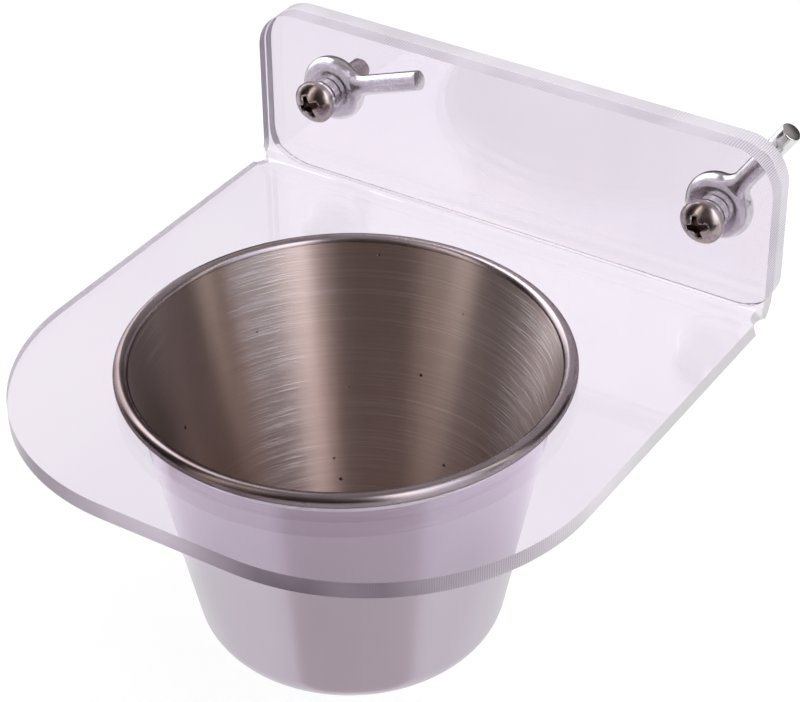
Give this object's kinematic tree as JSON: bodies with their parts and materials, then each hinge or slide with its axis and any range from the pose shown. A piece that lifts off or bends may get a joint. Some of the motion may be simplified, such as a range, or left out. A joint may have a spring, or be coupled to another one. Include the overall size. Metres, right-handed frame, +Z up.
{
  "type": "seed cup",
  "caption": "Tapered steel seed cup that hangs by its rolled rim in a clear acrylic shelf bracket, with a plate, screws and lever nuts that clamp it to cage wires.",
  "frame": {"origin": "midway between the two clamp screws, on the back face of the front plate, where the cage wires bear", "axes": "+Y goes through the cage wires into the clamp plate and the lever nuts, +Z points up, +X points right for someone who faces the cage"},
  "size_m": [0.105, 0.12, 0.0857],
  "materials": {
    "clear_acrylic": "clear polished sheet with cut edges",
    "screw_steel": "bright plated steel",
    "nut_steel": "polished steel",
    "cup_steel": "drawn stainless steel, satin outside and finely scratched inside"
  },
  "bodies": {
    "bracket": {"bracket": "clear_acrylic"},
    "clamp_plate": {"clamp_plate": "clear_acrylic"},
    "lever_nut_left": {"lever_nut_left": "nut_steel"},
    "lever_nut_right": {"lever_nut_right": "nut_steel"},
    "screw_left": {"screw_left": "screw_steel"},
    "screw_right": {"screw_right": "screw_steel"},
    "cup": {"cup": "cup_steel"}
  },
  "joints": [
    {"name": "nut_left_turn", "type": "hinge", "parent": "clamp_plate", "child": "lever_nut_left", "pos_m": [-0.04, 0.0056, 0], "axis": [0, 1, 0], "range_deg": [0, 4050]},
    {"name": "nut_right_turn", "type": "hinge", "parent": "clamp_plate", "child": "lever_nut_right", "pos_m": [0.04, 0.0056, 0], "axis": [0, 1, 0], "range_deg": [0, 4050]},
    {"name": "clamp_slide", "type": "slide", "parent": "bracket", "child": "clamp_plate", "axis": [0, 1, 0], "range_m": [0, 0.0079]},
    {"name": "screw_left_turn", "type": "hinge", "parent": "bracket", "child": "screw_left", "pos_m": [-0.04, 0, 0], "axis": [0, 1, 0], "continuous": true},
    {"name": "screw_right_turn", "type": "hinge", "parent": "bracket", "child": "screw_right", "pos_m": [0.04, 0, 0], "axis": [0, 1, 0], "continuous": true},
    {"name": "cup_lift", "type": "slide", "parent": "bracket", "child": "cup", "axis": [0, 0, 1], "range_m": [0, 0.06]}
  ],
  "couplings": [
    {"joint": "nut_right_turn", "follows": "nut_left_turn", "ratio": 1},
    {"joint": "clamp_slide", "follows": "nut_left_turn", "m_per_rad": 0.00011141}
  ]
}
